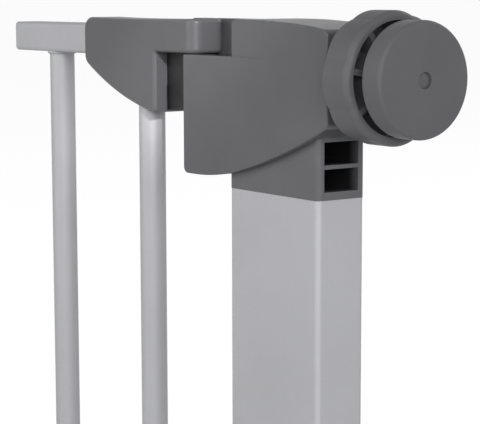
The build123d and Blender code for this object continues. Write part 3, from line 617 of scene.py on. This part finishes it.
springCoil = surfacePiece("springCoil", grid, "zincSteel", "gate_leaf", ["return_spring"])
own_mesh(springCoil)

# Weld bead round the left bar under the rail: a ring whose own radius swells and shrinks as it goes round
weldValues = {"radius": 0.0009, "ripple": 0.07, "waves": 22, "sink": 0.0002, "columns": 176, "rows": 16}
low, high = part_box("left_bar")
barMiddle = (low + high) / 2
barRadius = (high.x - low.x) / 2
turn = np.linspace(0, 2 * np.pi, weldValues["columns"], endpoint=False)[None, :]
section = np.linspace(0, 2 * np.pi, weldValues["rows"], endpoint=False)[:, None]
wave = np.cos(weldValues["waves"] * turn + np.cos(section))
bead = weldValues["radius"] * (1 + weldValues["ripple"] * wave)
reach = barRadius + bead * np.cos(section)
grid = np.stack(
    (
        barMiddle.x + reach * np.cos(turn),
        barMiddle.y + reach * np.sin(turn),
        high.z - weldValues["sink"] + bead * np.sin(section),
    ),
    axis=-1,
)
surfacePiece("barWeld", grid, "silverCoat", "gate_leaf", ring=True)
print("stage: pieces made")


# Mask of the rays that see the white ground: those from the camera, from reflections and through glass
def whiteRays(tree):
    path = tree.nodes.new("ShaderNodeLightPath")
    seen = addNode(tree, "ShaderNodeMath", operation="MAXIMUM")
    seenThrough = addNode(tree, "ShaderNodeMath", operation="MAXIMUM")
    tree.links.new(path.outputs["Is Camera Ray"], seen.inputs[0])
    tree.links.new(path.outputs["Is Glossy Ray"], seen.inputs[1])
    tree.links.new(seen.outputs[0], seenThrough.inputs[0])
    tree.links.new(path.outputs["Is Transmission Ray"], seenThrough.inputs[1])
    return seenThrough.outputs[0]


# Floor: pale, and white to the camera, with a share of it left to catch the shadow
floorValues = {
    "reach": 80.0,
    "level": -0.0005,
    "colour": (0.86, 0.86, 0.86, 1),
    "shadowShare": 0.12,
    "white": 1.09,
}
reach, level = floorValues["reach"], floorValues["level"]
floorMesh = bpy.data.meshes.new("floor")
floorMesh.from_pydata(
    [(-reach, -reach, level), (reach, -reach, level), (reach, reach, level), (-reach, reach, level)],
    [],
    [(0, 1, 2, 3)],
)
floor = bpy.data.objects.new("floor", floorMesh)
scene.collection.objects.link(floor)

paper = bpy.data.materials.new("paper")
paper.use_nodes = True
tree = paper.node_tree
tree.nodes.clear()
matt = addNode(tree, "ShaderNodeBsdfDiffuse", {"Color": floorValues["colour"]})
white = addNode(tree, "ShaderNodeEmission", {"Strength": floorValues["white"]})
both = tree.nodes.new("ShaderNodeMixShader")
share = addNode(tree, "ShaderNodeMath", {1: 1 - floorValues["shadowShare"]}, operation="MULTIPLY")
out = tree.nodes.new("ShaderNodeOutputMaterial")
tree.links.new(whiteRays(tree), share.inputs[0])
tree.links.new(share.outputs[0], both.inputs[0])
tree.links.new(matt.outputs[0], both.inputs[1])
tree.links.new(white.outputs[0], both.inputs[2])
tree.links.new(both.outputs[0], out.inputs[0])
floorMesh.materials.append(paper)

# World: soft grey fill for the object, white for the camera and for reflections
worldValues = {"fill": 0.06, "white": 1.0}
world = bpy.data.worlds.new("studio")
world.use_nodes = True
scene.world = world
tree = world.node_tree
tree.nodes.clear()
strength = addNode(
    tree, "ShaderNodeMapRange", {"To Min": worldValues["fill"], "To Max": worldValues["white"]}
)
sky = tree.nodes.new("ShaderNodeBackground")
out = tree.nodes.new("ShaderNodeOutputWorld")
tree.links.new(whiteRays(tree), strength.inputs["Value"])
tree.links.new(strength.outputs["Result"], sky.inputs["Strength"])
tree.links.new(sky.outputs[0], out.inputs[0])

# Lamps: azimuth from the front towards the wall, and the share of full light that each gives
lampValues = {
    "wallFront": {"azimuth": 57.0, "elevation": 16.0, "distance": 1.6, "size": (0.85, 0.85), "share": 0.77},
    "wallSide": {"azimuth": 92.0, "elevation": 8.0, "distance": 1.6, "size": (0.8, 0.8), "share": 0.28},
    "frontLeft": {"azimuth": -15.0, "elevation": 20.0, "distance": 1.7, "size": (1.3, 1.2), "share": 0.63},
    "behind": {"azimuth": 178.0, "elevation": 30.0, "distance": 1.7, "size": (1.2, 0.9), "share": 0.25},
}
accentValues = {
    "azimuth": 68.0,
    "elevation": 22.0,
    "distance": 1.2,
    "share": 1.05,
    "reach": 0.036,
    "bulb": 0.012,
    "blend": 1.0,
}
lampTarget = Vector((-0.03, 0.0, 0.15))
accentTarget = Vector((-0.068, -0.006, 0.174))


# Unit vector away from the object at an azimuth and an elevation in degrees
def directionAway(values):
    azimuth, elevation = math.radians(values["azimuth"]), math.radians(values["elevation"])
    return Vector(
        (
            math.sin(azimuth) * math.cos(elevation),
            -math.cos(azimuth) * math.cos(elevation),
            math.sin(elevation),
        )
    )


# A lamp stands off its target at its distance and looks back at it
def placeLamp(light, values, target):
    away = directionAway(values)
    holder = bpy.data.objects.new(light.name, light)
    holder.location = target + away * values["distance"]
    holder.rotation_euler = away.to_track_quat("Z", "Y").to_euler()
    scene.collection.objects.link(holder)


for name, lamp in lampValues.items():
    light = bpy.data.lights.new(name, "AREA")
    light.shape = "RECTANGLE"
    light.size, light.size_y = lamp["size"]
    light.energy = lamp["share"] * math.pi**2 * lamp["distance"] ** 2
    placeLamp(light, lamp, lampTarget)

# Accent lamp: a narrow soft cone on the arm's nose and the mouth under it
light = bpy.data.lights.new("accent", "SPOT")
light.spot_size = 2 * math.atan(accentValues["reach"] / accentValues["distance"])
light.spot_blend = accentValues["blend"]
light.shadow_soft_size = accentValues["bulb"]
light.energy = accentValues["share"] * 4 * math.pi**2 * accentValues["distance"] ** 2
placeLamp(light, accentValues, accentTarget)

# Camera: place and angles of the photograph's viewpoint, in the part's frame
cameraValues = {
    "place": (0.481292, -0.371666, 0.200202),
    "azimuth": 54.263,
    "elevation": 7.551,
    "roll": -0.132,
    "lens": 123.78,
    "sensor": 36.0,
    "near": 0.01,
    "far": 200.0,
}
back = directionAway(cameraValues)
right = Vector((0.0, 0.0, 1.0)).cross(back).normalized()
upright = Matrix((right, back.cross(right), back)).transposed()
lens = bpy.data.cameras.new("photoCamera")
lens.sensor_fit = "HORIZONTAL"
lens.sensor_width = cameraValues["sensor"]
lens.lens = cameraValues["lens"]
lens.clip_start, lens.clip_end = cameraValues["near"], cameraValues["far"]
camera = bpy.data.objects.new("photoCamera", lens)
turned = upright @ Matrix.Rotation(math.radians(cameraValues["roll"]), 3, "Z")
camera.matrix_world = Matrix.Translation(cameraValues["place"]) @ turned.to_4x4()
scene.collection.objects.link(camera)
scene.camera = camera
scene.view_settings.view_transform = "Standard"
print("stage: floor, lamps and camera set")
